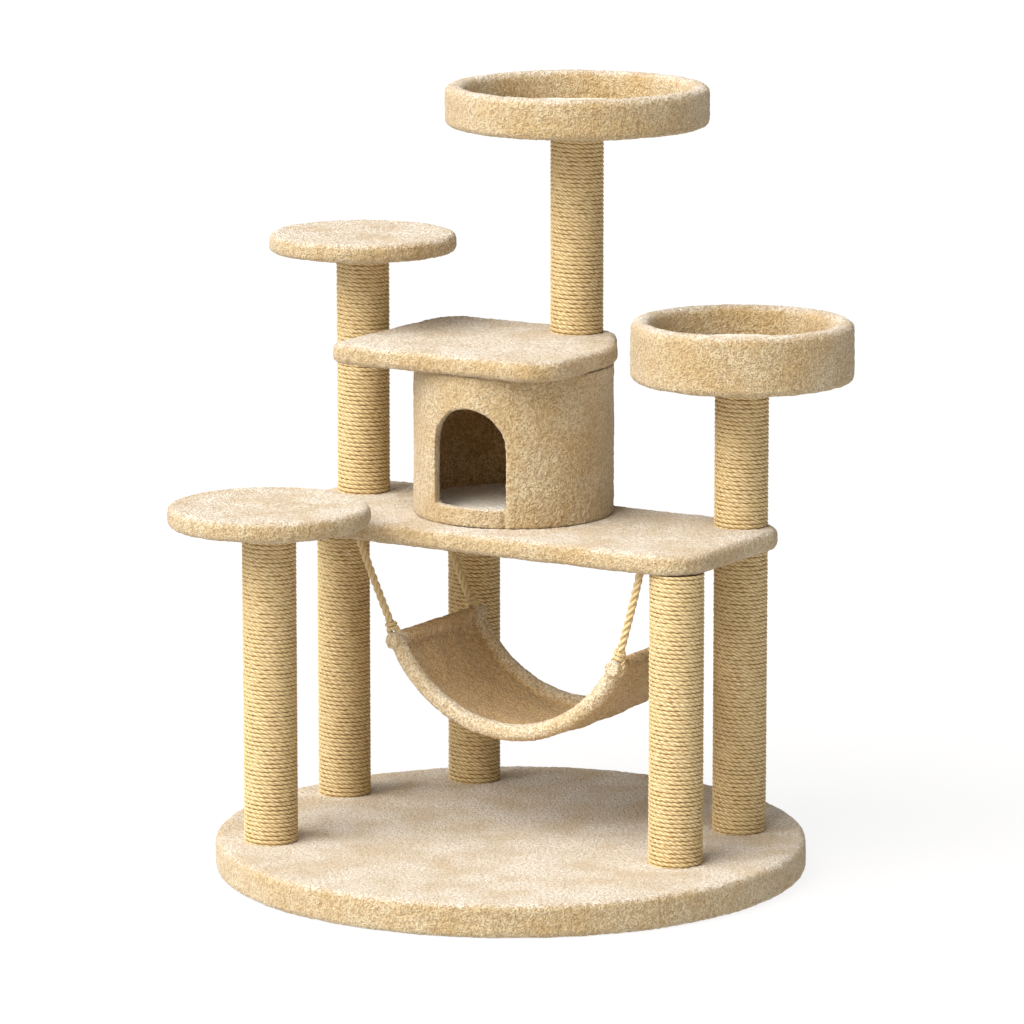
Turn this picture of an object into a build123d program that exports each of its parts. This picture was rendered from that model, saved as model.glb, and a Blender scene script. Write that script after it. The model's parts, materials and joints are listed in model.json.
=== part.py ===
from build123d import *
import os
from math import asin, atan, cos, degrees, radians, sin

# A free-standing cat tree. Origin at the centre of the base's underside, +Z up, the front
# of the tree towards -Y, millimetres. The long shelf is turned about Z: "along" is measured
# down its length and "across" over its width.

os.makedirs("parts", exist_ok=True)

# ---- Driving dimensions -------------------------------------------------------------

# Plush carpet, glued round every board
carpet = 6.0
carpet_edge = 10.0  # radius of the soft outer edges
platform_board = 18.0
perch_board = 16.0
low_perch_board_thickness = 18.0
base_board_thickness = 38.0
base_wrap = 45.0  # width of the carpet turned under the base

# Posts: paper tube, sisal rope wound round it, a wooden plug in each end
post_radius = 40.0
rope_wrap = 6.0
tube_wall = 5.0
plug_length = 22.0

# Levels: the underside of each platform
shelf_bottom = 478.0
low_perch_bottom = 521.0
house_height = 224.0
high_perch_bottom = 873.0
side_bed_bottom = 724.0
top_bed_bottom = 1072.0

# Plan: round platforms
base_radius = 435.0
low_perch_radius = 148.0
high_perch_radius = 140.0
side_bed_radius = 163.0
side_bed_height = 88.0
side_pad_thickness = 25.0
top_bed_radius = 196.0
top_bed_height = 60.0
top_pad_thickness = 5.0
rim_width = 28.0  # soft rim of a bed, over its carpets
rim_round = 12.0  # radius of the rim's upper edges
cushion_edge = 0.4  # radius of a cushion's upper edge, as a share of its thickness
bed_board = 9.0

# Plan: the posts' axes
front_left = (-352.0, -49.0)
back_left = (-252.0, 253.0)
rear = (-56.0, 345.0)
front_right = (238.0, -185.0)
back_right = (337.0, 15.0)
upper_left = (-222.0, 295.0)
top = (98.0, 222.0)

# The house
house_spot = (4.0, 128.0)
house_radius = 148.0
house_tube_wall = 5.0
lining = 5.0  # carpet inside the house
house_disc = 12.0
doorway_width = 116.0
doorway_sill = 28.0
doorway_height = 147.0
doorway_bearing = -118.4  # direction that the doorway faces, from +X

# Shelf outline: how far its edges stand past what they carry
shelf_turn = -31.5
shelf_front_lip = 7.0
shelf_right_lip = 3.0
shelf_back_lip = 5.0
shelf_left_lip = 14.0
bay_back_lip = 7.0
bay_left_lip = 17.0
bay_slope = 54.0  # bearing of the bay's slanted side, from the shelf's length
bay_house_gap = 10.0
# its corner radii, from the front left round to the back left
shelf_corners = (70, 60, 66, 60, 50, 50, 24, 70)

# Roof outline: how far its edges stand past the house and the post on it
roof_front_lip = 11.0
roof_corner_lip = 4.0
roof_right_lip = 5.0
roof_back_lip = 7.0
roof_left_reach = 228.0
roof_corner_bearing = -30.4
roof_corners = (30, 60, 150, 60, 40)  # corner radii, from the front left

# Hammock
hammock_left = -168.0  # along the shelf, at the middle of the left rod
hammock_front = -60.0  # across the shelf
hammock_back = 186.0
hammock_level = 330.0  # height of the rods
hammock_sag = 117.0
hammock_cloth_thickness = 8.0
side_roll = 13.0  # radius of the padded hems on the long sides
end_roll = 10.0  # radius of the hems round the rods
rod_radius = 6.0
rope_radius = 6.0
knot_radius = 11.0
rope_splay = 67.0  # how far the left ropes lean out
back_rope_splay = 8.0  # how far the back right rope leans out
clearance = 0.3  # gap between pieces that move past each other
rope_gap = 6.0  # between the front right rope and its post
hammock_gap = 10.0  # between the hammock's right end and the post behind it
knot_gap = 8.0  # from a rope loop up to the middle of its knot
hammock_swing = 20.0  # degrees either way, front to back

# Fasteners
bolt_radius = 4.0
bolt_head = 8.0
base_head = 7.0
base_head_height = 6.0
washer_radius = 10.0
washer_thickness = 2.0
counterbore_radius = 12.0
counterbore_depth = 12.0
insert_radius = 6.5
insert_length = 20.0
screw_radius = 2.0
screw_head = 4.0
screw_ring = 95.0  # radius of the ring of screws in each house disc
screw_count = 4
screw_start = 45.0  # bearing of the first screw
screw_bite = 0.7  # share of a house disc that a screw goes into

# ---- Levels and radii that follow ---------------------------------------------------

base_top = base_board_thickness + 2 * carpet
platform = platform_board + 2 * carpet
shelf_top = shelf_bottom + platform
house_top = shelf_top + house_height
roof_top = house_top + platform
tube_radius = post_radius - rope_wrap
plug_radius = tube_radius - tube_wall
house_tube_radius = house_radius - carpet
lining_radius = house_tube_radius - house_tube_wall
house_inside = lining_radius - lining

# Each post: its name, its axis, the level of its foot and the level of its head
posts = (
    ("front_left", front_left, base_top, low_perch_bottom),
    ("back_left", back_left, base_top, shelf_bottom),
    ("rear", rear, base_top, shelf_bottom),
    ("front_right", front_right, base_top, shelf_bottom),
    ("back_right", back_right, base_top, shelf_bottom),
    ("upper_left", upper_left, shelf_top, high_perch_bottom),
    ("upper_right", back_right, shelf_top, side_bed_bottom),
    ("top", top, roof_top, top_bed_bottom),
)
base_spots = (front_left, back_left, rear, front_right, back_right)

# ---- Helpers ------------------------------------------------------------------------

shelf_frame = Plane(
    origin=(0, 0, 0),
    x_dir=(cos(radians(shelf_turn)), sin(radians(shelf_turn)), 0),
    z_dir=(0, 0, 1),
)
along_axis = shelf_frame.x_dir
across_axis = shelf_frame.y_dir


def on_shelf(spot):
    """A spot in the tree's plan, as (along, across) the shelf."""
    local = shelf_frame.to_local_coords(Vector(spot[0], spot[1], 0))
    return local.X, local.Y


def shelf_point(along, across, level):
    """A point given along, across and above, in the tree's own frame."""
    return shelf_frame.from_local_coords(Vector(along, across, level))


def corner(first, second):
    """Where two edges meet, each given as (bearing it faces, distance from the origin)."""
    turn_a, reach_a = radians(first[0]), first[1]
    turn_b, reach_b = radians(second[0]), second[1]
    spread = sin(turn_b - turn_a)
    x = (reach_a * sin(turn_b) - reach_b * sin(turn_a)) / spread
    y = (reach_b * cos(turn_a) - reach_a * cos(turn_b)) / spread
    return x, y


def outline(edges, radii):
    """A closed outline from its edges in order, with a radius for each corner."""
    corners = [corner(edges[i - 1], edge) for i, edge in enumerate(edges)]
    with BuildSketch() as plan:
        with BuildLine():
            FilletPolyline(*corners, radius=radii, close=True)
        make_face()
    return plan.sketch


def disc(spot, radius):
    with BuildSketch() as plan:
        with Locations(spot):
            Circle(radius)
    return plan.sketch


def drill(spots, radius, low, high):
    """Upright holes in the part that is being built."""
    with Locations(*[(x, y, low) for x, y in spots]):
        Cylinder(
            radius,
            high - low,
            align=(Align.CENTER, Align.CENTER, Align.MIN),
            mode=Mode.SUBTRACT,
        )


def countersink(spots, wide_level, narrow_level, wide=bolt_head, narrow=bolt_radius):
    """Cone-shaped seats for flat heads, widest at the first level."""
    low, high = min(wide_level, narrow_level), max(wide_level, narrow_level)
    low_radius, high_radius = (wide, narrow) if wide_level < narrow_level else (narrow, wide)
    with Locations(*[(x, y, low) for x, y in spots]):
        Cone(
            low_radius,
            high_radius,
            high - low,
            align=(Align.CENTER, Align.CENTER, Align.MIN),
            mode=Mode.SUBTRACT,
        )


def finish(part, name):
    part.label = name
    export_step(part, f"parts/{name}.step")


def flat_board(plan, bottom, thickness):
    """A board cut to a plan, inside the carpet that is wrapped round it."""
    with BuildPart() as board:
        with BuildSketch(Plane.XY.offset(bottom)):
            add(plan)
            offset(amount=-carpet)
        extrude(amount=thickness)
    return board.part


def carpet_wrap(plan, bottom, board_thickness):
    """Carpet over a board's top, round its edge and over its underside."""
    with BuildPart() as wrap:
        with BuildSketch(Plane.XY.offset(bottom)):
            add(plan)
        extrude(amount=board_thickness + 2 * carpet)
        fillet(wrap.faces().filter_by(Axis.Z).edges(), radius=carpet_edge)
        with BuildSketch(Plane.XY.offset(bottom + carpet)):
            add(plan)
            offset(amount=-carpet)
        extrude(amount=board_thickness, mode=Mode.SUBTRACT)
    return wrap.part


def flat_head(spot, head_level, tip_level, shank, head):
    """A flat-head bolt or screw, from the face its head is flush with to its tip."""
    up = 1 if tip_level > head_level else -1
    with BuildPart(Plane(origin=(*spot, head_level), z_dir=(0, 0, up))) as fastener:
        length = abs(tip_level - head_level)
        Cylinder(shank, length, align=(Align.CENTER, Align.CENTER, Align.MIN))
        Cone(head, shank, head - shank, align=(Align.CENTER, Align.CENTER, Align.MIN))
    return fastener.part


head_depth = bolt_head - bolt_radius

# ---- Base ---------------------------------------------------------------------------

base_plan = disc((0, 0), base_radius)
seat_level = carpet + counterbore_depth  # face that the base bolts' washers bear on

with BuildPart() as base_board:
    with BuildSketch(Plane.XY.offset(carpet)):
        add(base_plan)
        offset(amount=-carpet)
    extrude(amount=base_board_thickness)
    drill(base_spots, counterbore_radius, carpet, seat_level)
    drill(base_spots, bolt_radius, seat_level, base_top)
finish(base_board.part, "base_board")

with BuildPart() as base_carpet:
    add(carpet_wrap(base_plan, 0, base_board_thickness))
    drill([(0, 0)], base_radius - base_wrap, 0, carpet)
    drill(base_spots, bolt_radius, base_board_thickness + carpet, base_top)
finish(base_carpet.part, "base_carpet")

with BuildPart() as base_washers:
    with Locations(*[(x, y, seat_level) for x, y in base_spots]):
        Cylinder(washer_radius, washer_thickness, align=(Align.CENTER, Align.CENTER, Align.MAX))
    drill(base_spots, bolt_radius, carpet, seat_level)
finish(base_washers.part, "base_washers")

head_level = seat_level - washer_thickness
with BuildPart() as base_bolts:
    with BuildSketch(Plane.XY.offset(head_level)):
        with Locations(*base_spots):
            RegularPolygon(base_head, 6, major_radius=False)
    extrude(amount=-base_head_height)
    with BuildSketch(Plane.XY.offset(head_level)):
        with Locations(*base_spots):
            Circle(bolt_radius)
    extrude(amount=base_top + insert_length - head_level)
finish(base_bolts.part, "base_bolts")

# ---- Posts --------------------------------------------------------------------------

for name, spot, foot, head in posts:
    with BuildPart() as tube:
        with BuildSketch(Plane.XY.offset(foot)):
            with Locations(spot):
                Circle(tube_radius)
                Circle(plug_radius, mode=Mode.SUBTRACT)
        extrude(amount=head - foot)
    finish(tube.part, f"{name}_post_tube")

    with BuildPart() as rope:
        with BuildSketch(Plane.XY.offset(foot)):
            with Locations(spot):
                Circle(post_radius)
                Circle(tube_radius, mode=Mode.SUBTRACT)
        extrude(amount=head - foot)
    finish(rope.part, f"{name}_post_sisal")

with BuildPart() as plugs:
    for name, spot, foot, head in posts:
        for level in (foot, head - plug_length):
            with BuildSketch(Plane.XY.offset(level)):
                with Locations(spot):
                    Circle(plug_radius)
            extrude(amount=plug_length)
        drill([spot], insert_radius, foot, foot + insert_length)
        drill([spot], insert_radius, head - insert_length, head)
        drill([spot], bolt_radius, foot + insert_length, foot + plug_length)
        drill([spot], bolt_radius, head - plug_length, head - insert_length)
finish(plugs.part, "post_plugs")

with BuildPart() as inserts:
    for name, spot, foot, head in posts:
        for level in (foot, head - insert_length):
            with BuildSketch(Plane.XY.offset(level)):
                with Locations(spot):
                    Circle(insert_radius)
                    Circle(bolt_radius, mode=Mode.SUBTRACT)
            extrude(amount=insert_length)
finish(inserts.part, "threaded_inserts")

with BuildPart() as stud:
    with BuildSketch(Plane.XY.offset(shelf_bottom - insert_length)):
        with Locations(back_right):
            Circle(bolt_radius)
    extrude(amount=platform + 2 * insert_length)
finish(stud.part, "joining_stud")

# Flat-head bolts down into the posts' heads and up into their feet, heads flush with the boards
down_bolts = (
    (front_left, low_perch_bottom + carpet + low_perch_board_thickness, low_perch_bottom),
    (back_left, shelf_top - carpet, shelf_bottom),
    (rear, shelf_top - carpet, shelf_bottom),
    (front_right, shelf_top - carpet, shelf_bottom),
    (upper_left, high_perch_bottom + carpet + perch_board, high_perch_bottom),
    (back_right, side_bed_bottom + carpet + bed_board, side_bed_bottom),
    (top, top_bed_bottom + carpet + bed_board, top_bed_bottom),
)
up_bolts = (
    (upper_left, shelf_bottom + carpet, shelf_top),
    (top, house_top + carpet, roof_top),
)
with BuildPart() as bolts:
    for spot, level, post_end in down_bolts:
        add(flat_head(spot, level, post_end - insert_length, bolt_radius, bolt_head))
    for spot, level, post_end in up_bolts:
        add(flat_head(spot, level, post_end + insert_length, bolt_radius, bolt_head))
finish(bolts.part, "platform_bolts")

# ---- Perches ------------------------------------------------------------------------

perches = (
    ("low_perch", front_left, low_perch_radius, low_perch_bottom, low_perch_board_thickness),
    ("high_perch", upper_left, high_perch_radius, high_perch_bottom, perch_board),
)
for name, spot, radius, bottom, thickness in perches:
    plan = disc(spot, radius)
    board_top = bottom + carpet + thickness

    with BuildPart() as board:
        add(flat_board(plan, bottom + carpet, thickness))
        drill([spot], bolt_radius, bottom, board_top)
        countersink([spot], board_top, board_top - head_depth)
    finish(board.part, f"{name}_board")

    with BuildPart() as cover:
        add(carpet_wrap(plan, bottom, thickness))
        drill([spot], bolt_radius, bottom, bottom + carpet)
    finish(cover.part, f"{name}_carpet")

# ---- Shelf --------------------------------------------------------------------------

front_right_on_shelf = on_shelf(front_right)
back_right_on_shelf = on_shelf(back_right)
rear_on_shelf = on_shelf(rear)
upper_left_on_shelf = on_shelf(upper_left)
back_left_on_shelf = on_shelf(back_left)
house_on_shelf = on_shelf(house_spot)

left_reach = max(-upper_left_on_shelf[0], -back_left_on_shelf[0]) + post_radius + shelf_left_lip
house_across_bay = house_on_shelf[0] * cos(radians(bay_slope)) + house_on_shelf[1] * sin(radians(bay_slope))

front_edge = (-90, -front_right_on_shelf[1] + post_radius + shelf_front_lip)
right_edge = (0, front_right_on_shelf[0] + post_radius + shelf_right_lip)
back_edge = (90, back_right_on_shelf[1] + post_radius + shelf_back_lip)
bay_side_edge = (bay_slope, house_across_bay + house_radius + bay_house_gap)
bay_back_edge = (90, rear_on_shelf[1] + post_radius + bay_back_lip)
bay_left_edge = (180, -rear_on_shelf[0] + post_radius + bay_left_lip)
left_edge = (180, left_reach)

shelf_outline = outline(
    (front_edge, right_edge, back_edge, bay_side_edge, bay_back_edge, bay_left_edge, back_edge, left_edge),
    shelf_corners,
)
shelf_plan = shelf_frame.location * shelf_outline

bolted_from_above = (back_left, rear, front_right)

# Rope holes: every rope leans out, and the front right one clears the post beside it
rope_clear = post_radius + rope_radius + rope_gap
loop_reach = end_roll + clearance + 2 * rope_radius
hammock_right = back_right_on_shelf[0] - post_radius - loop_reach - hammock_gap
rope_front = hammock_front + side_roll
rope_back = hammock_back - side_roll
ropes = (
    ("front_left", hammock_left - rope_splay, hammock_left, rope_front),
    ("back_left", hammock_left - rope_splay, hammock_left, rope_back),
    ("front_right", front_right_on_shelf[0] - rope_clear, hammock_right, rope_front),
    ("back_right", hammock_right + back_rope_splay, hammock_right, rope_back),
)
rope_spots = []
for name, hole, tie, across in ropes:
    spot = shelf_point(hole, across, 0)
    rope_spots.append((spot.X, spot.Y))
rope_hole = rope_radius + clearance
knot_pocket_radius = knot_radius + clearance
knot_pocket_depth = platform_board - carpet
knot_floor = shelf_top - carpet - knot_pocket_depth

# Wood screws up into the house's floor disc and down into its ceiling disc
screw_bearings = [screw_start + 360 / screw_count * i for i in range(screw_count)]
screw_spots = [
    (house_spot[0] + screw_ring * cos(radians(b)), house_spot[1] + screw_ring * sin(radians(b)))
    for b in screw_bearings
]
screw_length = platform_board + carpet + house_disc * screw_bite

with BuildPart() as shelf_board:
    add(flat_board(shelf_plan, shelf_bottom + carpet, platform_board))
    for spots in (bolted_from_above, (upper_left,), (back_right,)):
        drill(spots, bolt_radius, shelf_bottom, shelf_top)
    countersink(bolted_from_above, shelf_top - carpet, shelf_top - carpet - head_depth)
    countersink([upper_left], shelf_bottom + carpet, shelf_bottom + carpet + head_depth)
    drill(screw_spots, screw_radius, shelf_bottom, shelf_top)
    countersink(
        screw_spots,
        shelf_bottom + carpet,
        shelf_bottom + carpet + screw_head - screw_radius,
        screw_head,
        screw_radius,
    )
    drill(rope_spots, rope_hole, shelf_bottom, shelf_top)
    drill(rope_spots, knot_pocket_radius, knot_floor, shelf_top)
finish(shelf_board.part, "shelf_board")

with BuildPart() as shelf_carpet:
    add(carpet_wrap(shelf_plan, shelf_bottom, platform_board))
    drill(bolted_from_above, bolt_radius, shelf_bottom, shelf_bottom + carpet)
    drill([back_right], bolt_radius, shelf_bottom, shelf_top)
    drill([upper_left], bolt_head, shelf_bottom, shelf_bottom + carpet)
    drill([upper_left], bolt_radius, shelf_top - carpet, shelf_top)
    drill(screw_spots, screw_head, shelf_bottom, shelf_bottom + carpet)
    drill(screw_spots, screw_radius, shelf_top - carpet, shelf_top)
    drill(rope_spots, rope_hole, shelf_bottom, shelf_bottom + carpet)
finish(shelf_carpet.part, "shelf_carpet")

# ---- House --------------------------------------------------------------------------

doorway_axis = Plane(
    origin=(*house_spot, shelf_top),
    x_dir=(-sin(radians(doorway_bearing)), cos(radians(doorway_bearing)), 0),
    z_dir=(cos(radians(doorway_bearing)), sin(radians(doorway_bearing)), 0),
)


def doorway(grow):
    """The arched doorway as a solid, from the house's middle out through its wall."""
    half = doorway_width / 2 + grow
    spring = doorway_sill + doorway_height - doorway_width / 2
    with BuildPart() as opening:
        with BuildSketch(doorway_axis):
            with BuildLine():
                Polyline(
                    (-half, spring),
                    (-half, doorway_sill - grow),
                    (half, doorway_sill - grow),
                    (half, spring),
                )
                ThreePointArc((half, spring), (0, spring + half), (-half, spring))
            make_face()
        extrude(amount=house_radius + carpet)
    return opening.part


def house_ring(outer, inner, low=shelf_top, high=house_top):
    with BuildPart() as ring:
        with BuildSketch(Plane.XY.offset(low)):
            with Locations(house_spot):
                Circle(outer)
                Circle(inner, mode=Mode.SUBTRACT)
        extrude(amount=high - low)
    return ring.part


with BuildPart() as house_tube:
    add(house_ring(house_tube_radius, lining_radius))
    add(doorway(lining), mode=Mode.SUBTRACT)
finish(house_tube.part, "house_tube")

with BuildPart() as house_lining:
    add(house_ring(lining_radius, house_inside, shelf_top + house_disc, house_top - house_disc))
    add(doorway(lining), mode=Mode.SUBTRACT)
finish(house_lining.part, "house_lining")

# The outer carpet is turned in round the doorway, as far as the lining's face
with BuildPart() as doorway_turn_in:
    add(house_ring(house_tube_radius, house_inside))
    add(doorway(lining), mode=Mode.INTERSECT)

with BuildPart() as house_carpet:
    add(house_ring(house_radius, house_tube_radius))
    add(doorway_turn_in.part)
    add(doorway(0), mode=Mode.SUBTRACT)
finish(house_carpet.part, "house_carpet")

house_discs = (
    ("house_floor", shelf_top),
    ("house_ceiling", house_top - house_disc),
)
for name, bottom in house_discs:
    with BuildPart() as house_disc_part:
        with BuildSketch(Plane.XY.offset(bottom)):
            with Locations(house_spot):
                Circle(lining_radius)
        extrude(amount=house_disc)
        drill(screw_spots, screw_radius, bottom, bottom + house_disc)
    finish(house_disc_part.part, name)

with BuildPart() as floor_carpet:
    with BuildSketch(Plane.XY.offset(shelf_top + house_disc)):
        with Locations(house_spot):
            Circle(house_inside)
    extrude(amount=carpet)
finish(floor_carpet.part, "house_floor_carpet")

with BuildPart() as screws:
    for spot in screw_spots:
        level = shelf_bottom + carpet
        add(flat_head(spot, level, level + screw_length, screw_radius, screw_head))
        level = roof_top - carpet
        add(flat_head(spot, level, level - screw_length, screw_radius, screw_head))
finish(screws.part, "house_screws")

# ---- Roof ---------------------------------------------------------------------------

# Edges are set out from the house's axis, by the bearing that each one faces
front_bearing = shelf_turn - 90
back_bearing = shelf_turn + 90
left_bearing = shelf_turn + 180
top_past_house = on_shelf(top)[1] - house_on_shelf[1] + post_radius + roof_back_lip

roof_outline = outline(
    (
        (front_bearing, house_radius + roof_front_lip),
        (roof_corner_bearing, house_radius + roof_corner_lip),
        (0, house_radius + roof_right_lip),
        (back_bearing, top_past_house),
        (left_bearing, roof_left_reach),
    ),
    roof_corners,
)
roof_plan = Location((*house_spot, 0)) * roof_outline

with BuildPart() as roof_board:
    add(flat_board(roof_plan, house_top + carpet, platform_board))
    drill([top], bolt_radius, house_top, roof_top)
    countersink([top], house_top + carpet, house_top + carpet + head_depth)
    drill(screw_spots, screw_radius, house_top, roof_top)
    countersink(
        screw_spots,
        roof_top - carpet,
        roof_top - carpet - screw_head + screw_radius,
        screw_head,
        screw_radius,
    )
finish(roof_board.part, "roof_board")

with BuildPart() as roof_carpet:
    add(carpet_wrap(roof_plan, house_top, platform_board))
    drill([top], bolt_head, house_top, house_top + carpet)
    drill([top], bolt_radius, roof_top - carpet, roof_top)
    drill(screw_spots, screw_radius, house_top, house_top + carpet)
finish(roof_carpet.part, "roof_carpet")

# ---- Beds ---------------------------------------------------------------------------

core = rim_width - 2 * carpet  # thickness of the rim's inner ring
floor_level = carpet + bed_board  # top of a bed's board, above the bed's underside
beds = (
    ("side_bed", back_right, side_bed_radius, side_bed_height, side_bed_bottom, side_pad_thickness),
    ("top_bed", top, top_bed_radius, top_bed_height, top_bed_bottom, top_pad_thickness),
)
for name, spot, radius, height, bottom, pad in beds:
    bowl_radius = radius - rim_width
    section = Plane(origin=(*spot, bottom), x_dir=(1, 0, 0), z_dir=(0, -1, 0))
    bed_axis = Axis((*spot, bottom), (0, 0, 1))

    with BuildPart() as board:
        with BuildSketch(Plane.XY.offset(bottom + carpet)):
            with Locations(spot):
                Circle(radius - carpet)
                Circle(bolt_radius, mode=Mode.SUBTRACT)
        extrude(amount=bed_board)
        countersink([spot], bottom + floor_level, bottom + floor_level - head_depth)
    finish(board.part, f"{name}_board")

    with BuildPart() as ring:
        with BuildSketch(Plane.XY.offset(bottom + floor_level)):
            with Locations(spot):
                Circle(radius - carpet)
                Circle(radius - carpet - core, mode=Mode.SUBTRACT)
        extrude(amount=height - floor_level - carpet)
    finish(ring.part, f"{name}_rim")

    with BuildPart() as cover:
        with BuildSketch(section):
            with BuildLine():
                FilletPolyline(
                    (bowl_radius, floor_level),
                    (bowl_radius, height),
                    (radius, height),
                    (radius, 0),
                    (bolt_radius, 0),
                    radius=[rim_round, rim_round, carpet_edge],
                )
                Polyline((bolt_radius, 0), (bolt_radius, floor_level), (bowl_radius, floor_level))
            make_face()
            with BuildLine():
                Polyline(
                    (0, carpet),
                    (radius - carpet, carpet),
                    (radius - carpet, height - carpet),
                    (bowl_radius + carpet, height - carpet),
                    (bowl_radius + carpet, floor_level),
                    (0, floor_level),
                    close=True,
                )
            make_face(mode=Mode.SUBTRACT)
        revolve(axis=bed_axis)
    finish(cover.part, f"{name}_carpet")

    with BuildPart() as cushion:
        with BuildSketch(Plane.XY.offset(bottom + floor_level)):
            with Locations(spot):
                Circle(bowl_radius)
        extrude(amount=pad)
        fillet(cushion.faces().sort_by(Axis.Z)[-1].edges(), radius=pad * cushion_edge)
    finish(cushion.part, f"{name}_cushion")

# ---- Hammock ------------------------------------------------------------------------

# The cloth hangs in an arc between its two rods; the padded hems follow the same arc
half_span = (hammock_right - hammock_left) / 2
hammock_middle = (hammock_right + hammock_left) / 2
sag_radius = (half_span**2 + hammock_sag**2) / (2 * hammock_sag)
half_sweep = degrees(asin(half_span / sag_radius))
sag_centre_level = hammock_level + sag_radius * cos(radians(half_sweep))

# Each rope turns on a point just under the shelf, and on the knot above its loop
pivot_level = shelf_bottom - rope_radius - clearance
knot_rise = end_roll + clearance + rope_radius + knot_gap
steepest = degrees(atan(rope_splay / (pivot_level - hammock_level))) + hammock_swing
mouth_drop = rope_radius * sin(radians(steepest)) + clearance  # from a knot's middle to its rim
tie_points = {}
hole_points = {}
loop_points = {}
for name, hole, tie, across in ropes:
    fraction = knot_rise / (pivot_level - hammock_level)
    tie_points[name] = shelf_point(tie + (hole - tie) * fraction, across, hammock_level + knot_rise)
    hole_points[name] = shelf_point(hole, across, pivot_level)
    loop_points[name] = shelf_point(tie, across, hammock_level)
loop_radius = end_roll + clearance + rope_radius


def loops_and_knots(grow):
    """The four rope ends round the hammock's end hems, each with its knot above."""
    with BuildPart() as ties:
        for name in loop_points:
            with Locations(Plane(origin=loop_points[name], x_dir=along_axis, z_dir=across_axis)):
                Torus(loop_radius, rope_radius + grow)
            with Locations(tie_points[name]):
                Sphere(knot_radius + grow)
    return ties.part


first_end = radians(half_sweep)
radial = along_axis * -sin(first_end) + Vector(0, 0, -cos(first_end))
sag_centre = shelf_point(hammock_middle, 0, sag_centre_level)
cloth_section = Plane(origin=sag_centre, x_dir=across_axis, z_dir=across_axis.cross(radial))

with BuildPart() as hammock_cloth:
    with BuildSketch(cloth_section):
        with Locations(((hammock_front + hammock_back) / 2, sag_radius)):
            Rectangle(rope_back - rope_front, hammock_cloth_thickness)
        with Locations((rope_front, sag_radius), (rope_back, sag_radius)):
            Circle(side_roll)
    revolve(axis=Axis(sag_centre, across_axis * -1), revolution_arc=2 * half_sweep)
    for tie in (hammock_left, hammock_right):
        rod_start = shelf_point(tie, hammock_front, hammock_level)
        with BuildSketch(Plane(origin=rod_start, x_dir=along_axis, z_dir=across_axis)):
            Circle(end_roll)
        extrude(amount=hammock_back - hammock_front)
    for tie in (hammock_left, hammock_right):
        rod_start = shelf_point(tie, hammock_front, hammock_level)
        with BuildSketch(Plane(origin=rod_start, x_dir=along_axis, z_dir=across_axis)):
            Circle(rod_radius)
        extrude(amount=hammock_back - hammock_front, mode=Mode.SUBTRACT)
    add(loops_and_knots(clearance), mode=Mode.SUBTRACT)
finish(hammock_cloth.part, "hammock_cloth")

with BuildPart() as rods:
    for tie in (hammock_left, hammock_right):
        rod_start = shelf_point(tie, hammock_front, hammock_level)
        with BuildSketch(Plane(origin=rod_start, x_dir=along_axis, z_dir=across_axis)):
            Circle(rod_radius)
        extrude(amount=hammock_back - hammock_front)
finish(rods.part, "hammock_rods")

# The knots are open at the top, as sockets in which the ropes' ends turn
with BuildPart() as ties:
    add(loops_and_knots(0))
    for name in tie_points:
        with Locations(tie_points[name]):
            Sphere(rope_radius + clearance, mode=Mode.SUBTRACT)
        with Locations(tie_points[name] - Vector(0, 0, mouth_drop)):
            Cylinder(
                knot_radius + clearance,
                knot_radius + mouth_drop + clearance,
                align=(Align.CENTER, Align.CENTER, Align.MIN),
                mode=Mode.SUBTRACT,
            )
finish(ties.part, "rope_loops")

for name in hole_points:
    upper, lower = hole_points[name], tie_points[name]
    with BuildPart() as hammock_rope:
        with BuildSketch(Plane(origin=upper, z_dir=lower - upper)):
            Circle(rope_radius)
        extrude(amount=(lower - upper).length)
        with Locations(upper, lower):
            Sphere(rope_radius)
    finish(hammock_rope.part, f"{name}_rope")

with BuildPart() as stop_knots:
    for spot in rope_spots:
        with BuildSketch(Plane.XY.offset(shelf_bottom)):
            with Locations(spot):
                Circle(rope_radius)
        extrude(amount=knot_floor - shelf_bottom)
        with BuildSketch(Plane.XY.offset(knot_floor)):
            with Locations(spot):
                Circle(knot_radius)
        extrude(amount=knot_pocket_depth)
finish(stop_knots.part, "rope_stop_knots")
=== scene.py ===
import json
import math

import bmesh
import bpy
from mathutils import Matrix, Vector, noise


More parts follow.
